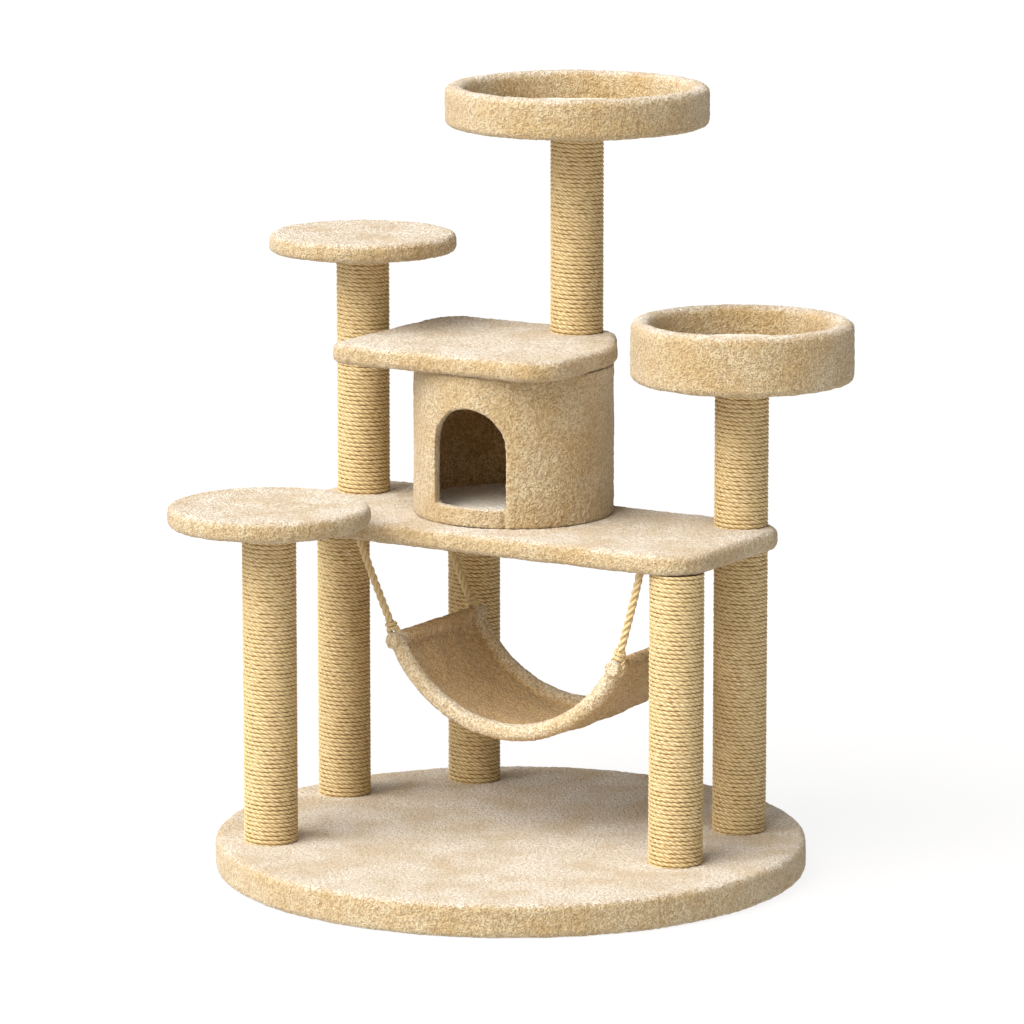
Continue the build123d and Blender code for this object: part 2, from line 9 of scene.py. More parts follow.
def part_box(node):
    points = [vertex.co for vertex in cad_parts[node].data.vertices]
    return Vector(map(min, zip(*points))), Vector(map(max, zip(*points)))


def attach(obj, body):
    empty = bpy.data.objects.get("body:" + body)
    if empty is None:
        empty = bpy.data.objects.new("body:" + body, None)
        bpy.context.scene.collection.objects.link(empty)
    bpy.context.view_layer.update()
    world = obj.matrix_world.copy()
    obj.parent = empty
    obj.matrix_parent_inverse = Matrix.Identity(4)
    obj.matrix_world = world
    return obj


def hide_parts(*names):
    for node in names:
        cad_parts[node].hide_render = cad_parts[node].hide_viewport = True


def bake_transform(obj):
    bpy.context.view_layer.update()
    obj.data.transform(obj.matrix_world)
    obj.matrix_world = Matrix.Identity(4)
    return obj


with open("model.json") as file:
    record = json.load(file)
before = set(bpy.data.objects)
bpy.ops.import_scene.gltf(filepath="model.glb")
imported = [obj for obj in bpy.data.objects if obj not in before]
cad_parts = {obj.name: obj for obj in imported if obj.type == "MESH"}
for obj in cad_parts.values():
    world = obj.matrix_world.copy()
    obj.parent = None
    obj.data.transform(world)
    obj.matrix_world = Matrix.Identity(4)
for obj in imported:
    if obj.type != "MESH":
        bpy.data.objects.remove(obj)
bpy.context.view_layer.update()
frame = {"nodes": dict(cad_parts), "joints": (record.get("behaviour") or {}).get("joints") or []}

# ---- Camera -----------------------------------------------------------------------------
# A long lens, far off and a little above the tree, looking slightly down at its front.

CAMERA_SPOT = (0.0015, -8.903, 2.229)
CAMERA_TILT = 10.8  # degrees below level
CAMERA_LENS = 218.0
CAMERA_SENSOR = 36.0

camera = bpy.data.objects.new("camera", bpy.data.cameras.new("camera"))
camera.data.lens = CAMERA_LENS
camera.data.sensor_width = CAMERA_SENSOR
camera.data.clip_end = 80
camera.location = CAMERA_SPOT
camera.rotation_euler = (math.radians(90 - CAMERA_TILT), 0, 0)
bpy.context.scene.collection.objects.link(camera)
bpy.context.scene.camera = camera

# ---- Hammock ropes ----------------------------------------------------------------------
# Four lengths of three-strand twisted jute rope, 12 mm thick. Each is knotted in a pocket in
# the shelf, comes down through its hole and runs taut to a bound loop at a corner of the
# hammock.

ROPE = 0.012
ROPE_LAY = 0.036  # length in which a strand goes once round
ROPE_IN_HOLE = 0.012  # length of rope in the hole, above the point where it bends
STRAND_SIDES = 10
ROPE_STEP = 0.0015


def linear(code):
    """An sRGB hex colour as the linear values that Blender works in."""
    parts = [int(code[i : i + 2], 16) / 255 for i in (1, 3, 5)]
    return [*((c / 12.92 if c <= 0.04045 else ((c + 0.055) / 1.055) ** 2.4) for c in parts), 1]


def add_node(tree, kind, feeds=None, **settings):
    """Adds a node with its settings; feeds gives its inputs, as values or as other sockets."""
    made = tree.nodes.new(kind)
    for name, value in settings.items():
        setattr(made, name, value)
    for key, value in (feeds or {}).items():
        if isinstance(value, bpy.types.NodeSocket):
            tree.links.new(value, made.inputs[key])
        else:
            made.inputs[key].default_value = value
    return made


def finish_of(name, roughness, specular):
    """A new material, with its node tree and its surface shader."""
    made = bpy.data.materials.new(name)
    made.use_nodes = True
    surface = made.node_tree.nodes["Principled BSDF"]
    surface.inputs["Roughness"].default_value = roughness
    surface.inputs["Specular IOR Level"].default_value = specular
    return made, made.node_tree, surface


def mixed(tree, factor, first, second):
    """A colour between two, each a hex code or a socket."""
    feeds = {0: factor}
    for key, value in ((6, first), (7, second)):
        feeds[key] = linear(value) if isinstance(value, str) else value
    return add_node(tree, "ShaderNodeMix", feeds, data_type="RGBA").outputs[2]


def add_piece(name, mesh):
    made = bpy.data.objects.new(name, mesh)
    bpy.context.scene.collection.objects.link(made)
    return made


def even_steps(points, step, closed=False):
    """Points a step apart along a line of points."""
    line = [*points, points[0]] if closed else list(points)
    runs = [(b - a).length for a, b in zip(line, line[1:])]
    count = max(2, round(sum(runs) / step))
    spaced, run, walked = [], 0, 0.0
    for i in range(count if closed else count + 1):
        target = sum(runs) * i / count
        while run < len(runs) - 1 and walked + runs[run] < target:
            walked += runs[run]
            run += 1
        spaced.append(line[run].lerp(line[run + 1], min(1, (target - walked) / runs[run])))
    return spaced


def smooth_line(points, closed=False):
    """The NURBS line that a route's points control, as points along it."""
    curve = bpy.data.curves.new("route", "CURVE")
    curve.dimensions = "3D"
    curve.resolution_u = 24
    spline = curve.splines.new("NURBS")
    spline.points.add(len(points) - 1)
    for control, place in zip(spline.points, points):
        control.co = (*place, 1)
    spline.use_cyclic_u = closed
    spline.order_u = 3
    spline.use_endpoint_u = not closed
    holder = add_piece("route", curve)
    line = bpy.data.meshes.new_from_object(
        holder.evaluated_get(bpy.context.evaluated_depsgraph_get())
    )
    found = [v.co.copy() for v in line.vertices]
    bpy.data.objects.remove(holder)
    bpy.data.curves.remove(curve)
    bpy.data.meshes.remove(line)
    return found


def add_ring(mesh, middle, out, cross, radius, sides):
    """Adds a ring of points to a mesh, square to a line."""
    turns = [math.tau * j / sides for j in range(sides)]
    return [
        mesh.verts.new(middle + (out * math.cos(turn) + cross * math.sin(turn)) * radius)
        for turn in turns
    ]


def lay_strands(mesh, line, diameter, closed=False):
    """Adds three twisted strands round a line to a mesh, with a UV map along and round each."""
    around_map = mesh.loops.layers.uv.verify()
    line = even_steps(line, ROPE_STEP * diameter / ROPE, closed)
    count = len(line)
    lay = ROPE_LAY * diameter / ROPE
    if closed:
        length = sum((line[i] - line[i - 1]).length for i in range(count))
        lay = length / round(length / lay)
    side = (line[1] - line[0]).orthogonal().normalized()
    frames, walked, start_side, turned = [], 0.0, side.copy(), 0.0
    for i, place in enumerate(line):
        ahead = line[(i + 1) % count] if closed or i < count - 1 else place
        behind = line[i - 1] if closed or i else place
        way = (ahead - behind).normalized()
        side = (side - way * side.dot(way)).normalized()
        frames.append((place, way, side, walked))
        walked += (ahead - place).length
    if closed:
        sense = 1 if side.cross(start_side).dot(frames[0][1]) > 0 else -1
        turned = side.angle(start_side) * sense
    strand = diameter / 4  # its radius, and its distance from the core
    for number in range(3):
        rings = []
        for i, (place, way, side, walked) in enumerate(frames):
            other = way.cross(side)
            turn = math.tau * (walked / lay + number / 3) + turned * i / count
            out = side * math.cos(turn) + other * math.sin(turn)
            cross = way.cross(out)
            middle = place + out * strand
            rings.append(add_ring(mesh, middle, out, cross, strand, STRAND_SIDES))
        spans = count if closed else count - 1
        for i in range(spans):
            for j in range(STRAND_SIDES):
                after = (j + 1) % STRAND_SIDES
                ring, following = rings[i], rings[(i + 1) % count]
                face = mesh.faces.new((ring[j], ring[after], following[after], following[j]))
                face.smooth = True
                spots = ((i, j), (i, j + 1), (i + 1, j + 1), (i + 1, j))
                for loop, (u, v) in zip(face.loops, spots):
                    loop[around_map].uv = (u * ROPE_STEP * diameter / ROPE / lay, v / STRAND_SIDES)
        if not closed:
            mesh.faces.new(reversed(rings[0]))
            mesh.faces.new(rings[-1])


# Jute is dull and straw brown, with fine yarns twisted in each strand, and painted shade darkens
# the creases between the strands. The yarns, 1 mm wide, show as slanted lines.
jute, tree, surface = finish_of("twisted_jute_rope", 0.85, 0.2)
around = add_node(tree, "ShaderNodeUVMap", uv_map="UVMap").outputs[0]
parts = add_node(tree, "ShaderNodeSeparateXYZ", {0: around}).outputs
slant = add_node(
    tree, "ShaderNodeMath", {0: parts[0], 1: 7.0, 2: parts[1]}, operation="MULTIPLY_ADD"
)
yarns = add_node(
    tree, "ShaderNodeMath", {0: slant.outputs[0], 1: math.tau * 6}, operation="MULTIPLY"
)
wave = add_node(tree, "ShaderNodeMath", {0: yarns.outputs[0]}, operation="SINE").outputs[0]
# the middle of v is the side of a strand that faces the rope's core; it gets painted shade, as in the
# crease
core = add_node(
    tree, "ShaderNodeMath", {0: parts[1], 1: math.tau}, operation="MULTIPLY"
).outputs[0]
facing = add_node(tree, "ShaderNodeMath", {0: core}, operation="COSINE").outputs[0]
painted_crease_shade = add_node(
    tree, "ShaderNodeMapRange", {"Value": facing, "From Min": -0.4, "From Max": 0.7}
).outputs[0]
spot = add_node(tree, "ShaderNodeTexCoord").outputs["Object"]
mottle = add_node(tree, "ShaderNodeTexNoise", {"Vector": spot, "Scale": 160.0, "Detail": 3.0})
shade = mixed(tree, mottle.outputs[0], "#CDB282", "#EAD7AC")
lined = add_node(tree, "ShaderNodeMapRange", {"Value": wave, "From Min": -1.0, "To Min": 0.62})
shade = mixed(tree, lined.outputs[0], "#A5834F", shade)
# painted shade: the side of each strand that faces the core is darkened towards #7D5D32
shade = mixed(tree, painted_crease_shade, "#7D5D32", shade)
bump = add_node(tree, "ShaderNodeBump", {"Strength": 0.6, "Distance": 0.0006, "Height": wave})
tree.links.new(shade, surface.inputs["Base Color"])
tree.links.new(bump.outputs[0], surface.inputs["Normal"])

ROPES = (
    ("front_left", "hammock_swing"),
    ("back_left", "back_left_rope_swing"),
    ("front_right", "front_right_rope_swing"),
    ("back_right", "back_right_rope_swing"),
)
joints = {joint["name"]: joint for joint in frame["joints"]}
ties = {}
for corner, joint in ROPES:
    node = corner + "_rope"
    low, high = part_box(node)
    bend = Vector(joints[joint]["pos_m"])
    tie = Vector((low.x + high.x - bend.x, low.y + high.y - bend.y, low.z + ROPE / 2))
    ties[corner] = (tie, (bend - tie).normalized())
    top_end = bend + Vector((0, 0, ROPE_IN_HOLE))
    line = smooth_line([top_end, bend, tie])
    mesh = bmesh.new()
    lay_strands(mesh, line, ROPE)
    data = bpy.data.meshes.new(corner + "_hanger")
    mesh.to_mesh(data)
    mesh.free()
    data.materials.append(jute)
    hanger = add_piece(corner + "_hanger", data)
    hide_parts(node)
    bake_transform(hanger)

# ---- Studio -----------------------------------------------------------------------------
# One broad soft lamp high on the left, pale surroundings that are darker on the right, and
# a floor of white paper, lit from below so that shadows on it stay faint.

KEY_POWER = 3.9
KEY_SPREAD = 54  # degrees that the lamp fills, for soft shadows
KEY_HEIGHT = 47  # degrees above level
KEY_BEARING = 217  # degrees from +X, so from the front left
BRIGHT_SIDE = Vector((-0.62, -0.42, 0.66)).normalized()
BRIGHT_SKY = 1.35
FLOOR_REACH = 60

key = bpy.data.lights.new("key", "SUN")
key.energy = KEY_POWER
key.angle = math.radians(KEY_SPREAD)
key.color = linear("#FFFBF4")[:3]
lamp = bpy.data.objects.new("key", key)
height, bearing = math.radians(KEY_HEIGHT), math.radians(KEY_BEARING)
towards = Vector(
    (math.cos(height) * math.cos(bearing), math.cos(height) * math.sin(bearing), math.sin(height))
)
lamp.rotation_euler = towards.to_track_quat("Z", "Y").to_euler()
bpy.context.scene.collection.objects.link(lamp)

world = bpy.data.worlds.new("studio")
world.use_nodes = True
tree = world.node_tree
toward = add_node(tree, "ShaderNodeTexCoord").outputs["Generated"]
lean = add_node(
    tree, "ShaderNodeVectorMath", {0: toward, 1: BRIGHT_SIDE}, operation="DOT_PRODUCT"
).outputs["Value"]
strength = add_node(
    tree,
    "ShaderNodeMapRange",
    {"Value": lean, "From Min": -0.2, "From Max": 0.95, "To Max": BRIGHT_SKY},
)
backdrop = tree.nodes["Background"]
backdrop.inputs["Color"].default_value = linear("#FFFFFF")
tree.links.new(strength.outputs[0], backdrop.inputs["Strength"])
bpy.context.scene.world = world
bpy.context.scene.view_settings.view_transform = "Standard"

sweep = bpy.data.meshes.new("floor")
corners = [(x * FLOOR_REACH, y * FLOOR_REACH, 0) for x, y in ((-1, -1), (1, -1), (1, 1), (-1, 1))]
sweep.from_pydata(corners, [], [(0, 1, 2, 3)])
paper, tree, surface = finish_of("lit_paper_sweep", 0.9, 0.1)
surface.inputs["Base Color"].default_value = linear("#5E5D5C")
surface.inputs["Emission Color"].default_value = linear("#FFFFFF")
surface.inputs["Emission Strength"].default_value = 0.86
sweep.materials.append(paper)
add_piece("floor", sweep)

# ---- Base -------------------------------------------------------------------------------
# A thick disc of particle board in short cut-pile carpet, glued over the top, round the edge
# and a little way under. Hexagon bolts with washers come up through it into the posts.

PILE_VOXEL = 0.003
CLUMP = 0.007  # size of the tufts' clumps
CLUMP_HEIGHT = 0.0016
SWELL = 0.06  # size of the low hollows and swells in the pile
SWELL_HEIGHT = 0.0014
BASE_RECESS = 0.389  # radius inside which the board shows underneath
BASE_RECESS_TOP = 0.0075


def coat(material, *nodes):
    """Gives CAD nodes that stay in sight their finish."""
    for node in nodes:
        for place in frame["nodes"][node].material_slots:
            place.link = "OBJECT"
            place.material = material


def copy_of(name, nodes):
    """The merged meshes of some CAD nodes, as one new piece."""
    shell = bmesh.new()
    for node in nodes:
        shell.from_mesh(frame["nodes"][node].data)
    bmesh.ops.remove_doubles(shell, verts=shell.verts, dist=1e-6)
    mesh = bpy.data.meshes.new(name)
    shell.to_mesh(mesh)
    shell.free()
    return add_piece(name, mesh)


def settle(piece):
    """Turns a piece's modifiers into plain mesh."""
    final = bpy.data.meshes.new_from_object(
        piece.evaluated_get(bpy.context.evaluated_depsgraph_get())
    )
    piece.modifiers.clear()
    old, piece.data = piece.data, final
    bpy.data.meshes.remove(old)
    final.name = piece.name


def even_mesh(piece, voxel, rounds):
    """Remeshes a piece evenly, with its edges rounded by smoothing, and keeps its outside."""
    remesh = piece.modifiers.new("even", "REMESH")
    remesh.mode = "VOXEL"
    remesh.voxel_size = voxel
    remesh.use_smooth_shade = True
    if rounds:
        smooth = piece.modifiers.new("round", "SMOOTH")
        smooth.factor = 0.5
        smooth.iterations = rounds
    settle(piece)
    shell = bmesh.new()
    shell.from_mesh(piece.data)
    islands, seen = [], set()
    for first in shell.verts:
        if first in seen:
            continue
        seen.add(first)
        island, waiting = [], [first]
        while waiting:
            here = waiting.pop()
            island.append(here)
            for edge in here.link_edges:
                there = edge.other_vert(here)
                if there not in seen:
                    seen.add(there)
                    waiting.append(there)
        islands.append(island)
    islands.sort(key=len, reverse=True)
    inner = [vert for island in islands[1:] for vert in island]
    bmesh.ops.delete(shell, geom=inner, context="VERTS")
    shell.to_mesh(piece.data)
    shell.free()


def pile_tree():
    """Geometry nodes that raise clumps and low swells in a carpet's pile."""
    tree = bpy.data.node_groups.new("cut pile", "GeometryNodeTree")
    for label, kind in (
        ("Geometry", "NodeSocketGeometry"),
        ("Clump Size", "NodeSocketFloat"),
        ("Clump Height", "NodeSocketFloat"),
        ("Swell Size", "NodeSocketFloat"),
        ("Swell Height", "NodeSocketFloat"),
        ("Material", "NodeSocketMaterial"),
    ):
        tree.interface.new_socket(label, in_out="INPUT", socket_type=kind)
    tree.interface.new_socket("Geometry", in_out="OUTPUT", socket_type="NodeSocketGeometry")
    start = add_node(tree, "NodeGroupInput").outputs
    place = add_node(tree, "GeometryNodeInputPosition").outputs[0]
    normal = add_node(tree, "GeometryNodeInputNormal").outputs[0]
    lifts = []
    for size, height in (("Clump Size", "Clump Height"), ("Swell Size", "Swell Height")):
        scale = add_node(tree, "ShaderNodeMath", {0: 1.0, 1: start[size]}, operation="DIVIDE")
        bumps = add_node(
            tree, "ShaderNodeTexNoise", {"Vector": place, "Scale": scale.outputs[0], "Detail": 1.5}
        )
        level = add_node(
            tree, "ShaderNodeMath", {0: bumps.outputs[0], 1: 0.5}, operation="SUBTRACT"
        )
        lifts.append(
            add_node(
                tree, "ShaderNodeMath", {0: level.outputs[0], 1: start[height]}, operation="MULTIPLY"
            ).outputs[0]
        )
    lift = add_node(tree, "ShaderNodeMath", {0: lifts[0], 1: lifts[1]}, operation="ADD")
    twice = add_node(tree, "ShaderNodeMath", {0: lift.outputs[0], 1: 2.0}, operation="MULTIPLY")
    push = add_node(
        tree, "ShaderNodeVectorMath", {0: normal, "Scale": twice.outputs[0]}, operation="SCALE"
    )
    moved = add_node(
        tree, "GeometryNodeSetPosition", {"Geometry": start["Geometry"], "Offset": push.outputs[0]}
    )
    real = add_node(tree, "GeometryNodeRealizeInstances", {0: moved.outputs[0]})
    coated = add_node(
        tree, "GeometryNodeSetMaterial", {"Geometry": real.outputs[0], "Material": start["Material"]}
    )
    add_node(tree, "NodeGroupOutput", {0: coated.outputs[0]})
    return tree


def run_nodes(piece, tree, values):
    """Runs a geometry node tree on a piece, with its inputs by name, and keeps the result."""
    modifier = piece.modifiers.new(tree.name, "NODES")
    modifier.node_group = tree
    for item in tree.interface.items_tree:
        if item.item_type == "SOCKET" and item.in_out == "INPUT" and item.name in values:
            modifier[item.identifier] = values[item.name]
    settle(piece)


def plush(name, top_light_tone, light, middle, dark, sheen=0.45):
    """Cut-pile plush: matt, pale at grazing angles from its sheen, with painted light that colours
    upward faces paler, lighter and darker in patches about 70 mm wide where the pile lies over,
    and speckled by its tufts."""
    made, tree, surface = finish_of(name, 0.95, 0.12)
    spot = add_node(tree, "ShaderNodeTexCoord").outputs["Object"]
    patches = add_node(tree, "ShaderNodeTexNoise", {"Vector": spot, "Scale": 15.0, "Detail": 2.0})
    lay = add_node(
        tree, "ShaderNodeMapRange", {"Value": patches.outputs[0], "From Min": 0.36, "From Max": 0.64}
    )
    # painted light: where a face points up it is coloured paler, and its sides keep the darker ground
    facing = add_node(tree, "ShaderNodeNewGeometry").outputs["Normal"]
    upright = add_node(tree, "ShaderNodeSeparateXYZ", {0: facing}).outputs[2]
    most = add_node(
        tree, "ShaderNodeMapRange", {"Value": lay.outputs[0], "To Min": 0.35, "To Max": 0.95}
    )
    painted_top_light = add_node(
        tree,
        "ShaderNodeMapRange",
        {"Value": upright, "From Min": 0.3, "From Max": 1.0, "To Max": most.outputs[0]},
    )
    # clumps about 6 mm wide, and tufts of 2 mm drawn at 3 mm so that they show
    clumps = add_node(tree, "ShaderNodeTexNoise", {"Vector": spot, "Scale": 160.0, "Detail": 2.0})
    tufts = add_node(tree, "ShaderNodeTexNoise", {"Vector": spot, "Scale": 380.0, "Detail": 2.5})
    ground = mixed(tree, lay.outputs[0], middle, light)
    # painted light: upward faces are mixed towards the pale top light tone
    ground = mixed(tree, painted_top_light.outputs[0], ground, top_light_tone)
    speck = add_node(
        tree, "ShaderNodeMapRange", {"Value": tufts.outputs[0], "From Min": 0.34, "From Max": 0.58}
    )
    hollow = add_node(
        tree, "ShaderNodeMapRange", {"Value": clumps.outputs[0], "From Min": 0.2, "From Max": 0.54}
    )
    depth = add_node(
        tree, "ShaderNodeMath", {0: speck.outputs[0], 1: hollow.outputs[0]}, operation="MULTIPLY"
    )
    full = add_node(tree, "ShaderNodeMapRange", {"Value": depth.outputs[0], "To Min": 0.18})
    colour = mixed(tree, full.outputs[0], dark, ground)
    relief = add_node(
        tree, "ShaderNodeMath", {0: tufts.outputs[0], 1: clumps.outputs[0]}, operation="ADD"
    )
    bump = add_node(
        tree, "ShaderNodeBump", {"Strength": 1.0, "Distance": 0.004, "Height": relief.outputs[0]}
    )
    tree.links.new(colour, surface.inputs["Base Color"])
    tree.links.new(bump.outputs[0], surface.inputs["Normal"])
    surface.inputs["Sheen Weight"].default_value = sheen
    surface.inputs["Sheen Roughness"].default_value = 0.5
    surface.inputs["Sheen Tint"].default_value = linear("#FFF9F0")
    return made


pile = pile_tree()
# each plush's first colour is painted light, laid on faces that point up
carpet = plush("cut_pile_carpet", "#F0EAE0", "#D5C4A2", "#C9B084", "#987646")
pile_values = {
    "Clump Size": CLUMP,
    "Clump Height": CLUMP_HEIGHT,
    "Swell Size": SWELL,
    "Swell Height": SWELL_HEIGHT,
    "Material": carpet,
}


def hand_over(piece, slot, body, *nodes):
    """Puts a finished piece in the place of CAD nodes, on their body."""
    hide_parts(*nodes)
    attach(piece, body)


# Particle board is pressed wood chips, pale brown with lighter and darker flakes 3 to 6 mm
# long; its sawn edge is duller.
chipboard, tree, surface = finish_of("pressed_particle_board", 0.75, 0.3)
spot = add_node(tree, "ShaderNodeTexCoord").outputs["Object"]
flakes = add_node(
    tree, "ShaderNodeTexVoronoi", {"Vector": spot, "Scale": 240.0, "Randomness": 1.0}
)
broad = add_node(tree, "ShaderNodeTexNoise", {"Vector": spot, "Scale": 60.0, "Detail": 4.0})
chips = add_node(tree, "ShaderNodeSeparateColor", {0: flakes.outputs["Color"]})
shade = mixed(tree, chips.outputs[0], "#A98B62", "#D2B88C")
shade = mixed(tree, broad.outputs[0], shade, "#B99A6E")
bump = add_node(
    tree, "ShaderNodeBump", {"Strength": 0.25, "Distance": 0.0004, "Height": chips.outputs[1]}
)
tree.links.new(shade, surface.inputs["Base Color"])
tree.links.new(bump.outputs[0], surface.inputs["Normal"])

# Zinc plating on steel is bright and faintly blue, with a fine uneven bloom.
zinc, tree, surface = finish_of("zinc_plated_steel", 0.34, 0.5)
spot = add_node(tree, "ShaderNodeTexCoord").outputs["Object"]
bloom = add_node(tree, "ShaderNodeTexNoise", {"Vector": spot, "Scale": 300.0, "Detail": 4.0})
shade = mixed(tree, bloom.outputs[0], "#B4BAC0", "#D6DADD")
dull = add_node(
    tree, "ShaderNodeMapRange", {"Value": bloom.outputs[0], "To Min": 0.24, "To Max": 0.5}
)
tree.links.new(shade, surface.inputs["Base Color"])
tree.links.new(dull.outputs[0], surface.inputs["Roughness"])
surface.inputs["Metallic"].default_value = 1.0

base_cover = copy_of("base_cover", ("base_carpet", "base_board"))
even_mesh(base_cover, PILE_VOXEL, 2)
cutter_mesh = bmesh.new()
bmesh.ops.create_cone(
    cutter_mesh,
    cap_ends=True,
    segments=256,
    radius1=BASE_RECESS,
    radius2=BASE_RECESS,
    depth=BASE_RECESS_TOP * 4,
)
bmesh.ops.translate(cutter_mesh, verts=cutter_mesh.verts, vec=(0, 0, -BASE_RECESS_TOP))
cutter = add_piece("recess_cutter", bpy.data.meshes.new("recess_cutter"))
cutter_mesh.to_mesh(cutter.data)
cutter_mesh.free()
recess = base_cover.modifiers.new("recess", "BOOLEAN")
recess.object = cutter
recess.operation = "DIFFERENCE"
recess.solver = "FAST"
settle(base_cover)
bpy.data.objects.remove(cutter)
run_nodes(base_cover, pile, pile_values)
hand_over(base_cover, "carpet_plush", "tower", "base_carpet")
coat(chipboard, "base_board")
coat(zinc, "base_bolts", "base_washers")

# ---- Posts ------------------------------------------------------------------------------
# Wound paper tubes with a beech plug and threaded inserts in each end. Sisal rope, 6.4 mm
# thick, is wound round them turn against turn and glued; its three strands show as slanted
# lumps on every turn.

SISAL_PITCH = 0.0064
SISAL_ROWS = 6  # rows of faces across one turn of rope
SISAL_AROUND = 156  # faces round the post
STRAND_PITCH = 0.0098  # from one strand to the next along the rope
STRAND_SLANT = 0.62  # how far a strand leans across half a turn, in strand pitches
RIDGE = 0.0016  # how far a turn stands out of the groove beside it
LUMP = 0.0015  # how far a strand stands out of its turn


def sisal_tree():
    """Geometry nodes that wind rope round a post: an upright grid rolled up along a helix."""
    tree = bpy.data.node_groups.new("sisal winding", "GeometryNodeTree")
    for label, kind in (
        ("Axis", "NodeSocketVector"),
        ("Radius", "NodeSocketFloat"),
        ("Height", "NodeSocketFloat"),
        ("Turns", "NodeSocketFloat"),
        ("Rows", "NodeSocketInt"),
        ("Around", "NodeSocketInt"),
        ("Ridge", "NodeSocketFloat"),
        ("Lump", "NodeSocketFloat"),
        ("Strand Pitch", "NodeSocketFloat"),
        ("Material", "NodeSocketMaterial"),
    ):
        tree.interface.new_socket(label, in_out="INPUT", socket_type=kind)
    tree.interface.new_socket("Geometry", in_out="OUTPUT", socket_type="NodeSocketGeometry")
    start = add_node(tree, "NodeGroupInput").outputs

    def maths(operation, first, second=0.0, third=0.0):
        return add_node(
            tree, "ShaderNodeMath", {0: first, 1: second, 2: third}, operation=operation
        ).outputs[0]

    grid = add_node(
        tree,
        "GeometryNodeMeshGrid",
        {"Size X": 1.0, "Size Y": 1.0, "Vertices X": start["Around"], "Vertices Y": start["Rows"]},
    )
    place = add_node(tree, "GeometryNodeInputPosition").outputs[0]
    parts = add_node(tree, "ShaderNodeSeparateXYZ", {0: place}).outputs
    across = maths("ADD", parts[0], 0.5)
    up = maths("ADD", parts[1], 0.5)
    # the grid is one turn taller than the post, leans by one turn, and is cut off at its ends
    turn = maths("SUBTRACT", maths("MULTIPLY", up, maths("ADD", start["Turns"], 1.0)), across)
    pitch = maths("DIVIDE", start["Height"], start["Turns"])
    level = maths("MINIMUM", maths("MAXIMUM", maths("MULTIPLY", turn, pitch), 0.0), start["Height"])
    angle = maths("MULTIPLY", across, math.tau)
    side = maths("SUBTRACT", maths("MULTIPLY", maths("FRACT", maths("ADD", turn, across)), 2.0), 1.0)
    crown = maths("SQRT", maths("MAXIMUM", maths("SUBTRACT", 1.0, maths("MULTIPLY", side, side)), 0.0))
    # strands cross each turn on a slant, a little unevenly
    whole = maths("FLOOR", maths("ADD", turn, across))
    along = maths("MULTIPLY", maths("SUBTRACT", across, whole), math.tau)
    length = maths("MULTIPLY", along, start["Radius"])
    leaning = maths("MULTIPLY", side, STRAND_SLANT)
    lay = maths("ADD", maths("DIVIDE", length, start["Strand Pitch"]), leaning)
    loose = add_node(tree, "ShaderNodeTexNoise", {"Vector": place, "Scale": 9.0, "Detail": 1.0})
    lay = maths("ADD", lay, loose.outputs[0])
    strand = maths("ABSOLUTE", maths("SINE", maths("MULTIPLY", lay, math.pi)))
    lump = maths("MULTIPLY", maths("MULTIPLY", strand, start["Lump"]), crown)
    # each turn lies closer or looser along its length, which hides or opens its groove
    stretch = add_node(
        tree,
        "ShaderNodeCombineXYZ",
        {0: maths("MULTIPLY", across, 20.0), 1: maths("MULTIPLY", whole, 1.7)},
    )
    thick = add_node(
        tree, "ShaderNodeTexNoise", {"Vector": stretch.outputs[0], "Scale": 1.0, "Detail": 1.0}
    )
    close = add_node(
        tree,
        "ShaderNodeMapRange",
        {"Value": thick.outputs[0], "From Min": 0.38, "From Max": 0.6, "To Min": 0.3},
    )
    groove = maths("MULTIPLY", maths("SUBTRACT", crown, 1.0), close.outputs[0])
    dip = maths("MULTIPLY", groove, start["Ridge"])
    uneven = maths("MULTIPLY", maths("SUBTRACT", thick.outputs[0], 0.5), start["Lump"])
    reach = maths("ADD", start["Radius"], maths("ADD", dip, maths("SUBTRACT", lump, start["Lump"])))
    reach = maths("ADD", reach, uneven)
    spot = add_node(
        tree,
        "ShaderNodeCombineXYZ",
        {
            0: maths("MULTIPLY", reach, maths("COSINE", angle)),
            1: maths("MULTIPLY", reach, maths("SINE", angle)),
            2: level,
        },
    )
    standing = add_node(
        tree, "ShaderNodeVectorMath", {0: spot.outputs[0], 1: start["Axis"]}, operation="ADD"
    )
    # relief, kept for the material, which paints shade into the grooves between turns and strands
    between = maths("ADD", maths("MULTIPLY", strand, 0.75), 0.25)
    relief = maths("MULTIPLY", maths("ADD", groove, 1.0), between)
    crease = add_node(
        tree,
        "GeometryNodeStoreNamedAttribute",
        {"Geometry": grid.outputs[0], "Name": "relief", "Value": relief},
        data_type="FLOAT",
        domain="POINT",
    )
    wound = add_node(
        tree,
        "GeometryNodeSetPosition",
        {"Geometry": crease.outputs[0], "Position": standing.outputs[0]},
    )
    joined = add_node(
        tree, "GeometryNodeMergeByDistance", {"Geometry": wound.outputs[0], "Distance": 0.0002}
    )
    smooth = add_node(tree, "GeometryNodeSetShadeSmooth", {"Geometry": joined.outputs[0]})
    real = add_node(tree, "GeometryNodeRealizeInstances", {0: smooth.outputs[0]})
    coated = add_node(
        tree, "GeometryNodeSetMaterial", {"Geometry": real.outputs[0], "Material": start["Material"]}
    )
    add_node(tree, "NodeGroupOutput", {0: coated.outputs[0]})
    return tree
